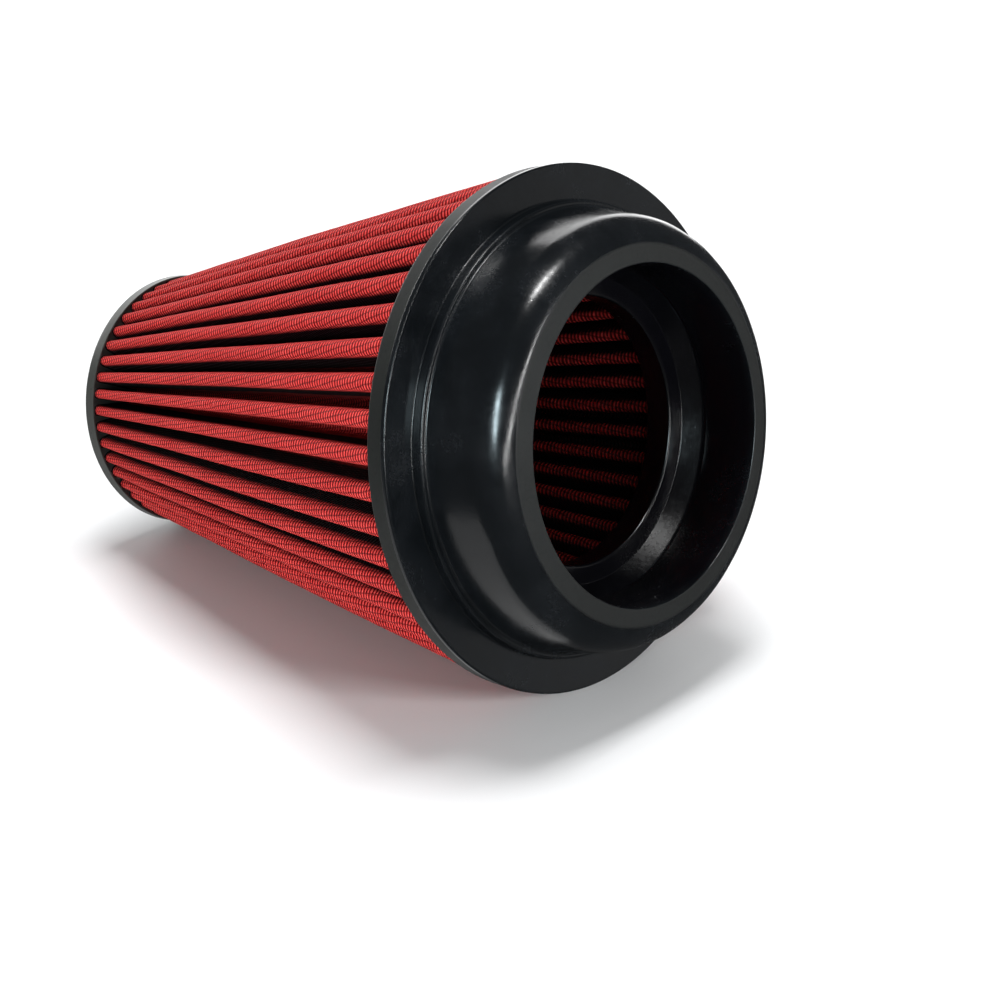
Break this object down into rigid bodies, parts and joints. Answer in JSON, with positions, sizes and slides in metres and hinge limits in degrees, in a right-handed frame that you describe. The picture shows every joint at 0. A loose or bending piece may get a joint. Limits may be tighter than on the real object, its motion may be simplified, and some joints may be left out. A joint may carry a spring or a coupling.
{
  "type": "conical performance air filter",
  "caption": "Conical clamp-on engine air filter: pleated red gauze media potted between a closed end cap and a flanged moulded outlet collar.",
  "frame": {"origin": "centre of the flat outer face of the closed end cap, which the filter stands on", "axes": "+Z along the filter's axis, from the closed end cap to the outlet; the part is round about Z, with an outer fold of the media on +X"},
  "size_m": [0.162, 0.162, 0.216],
  "materials": {
    "urethane": "satin",
    "gauze": "matte"
  },
  "bodies": {
    "root": {"outlet_collar": "urethane", "filter_media": "gauze", "end_cap": "urethane"}
  },
  "joints": []
}
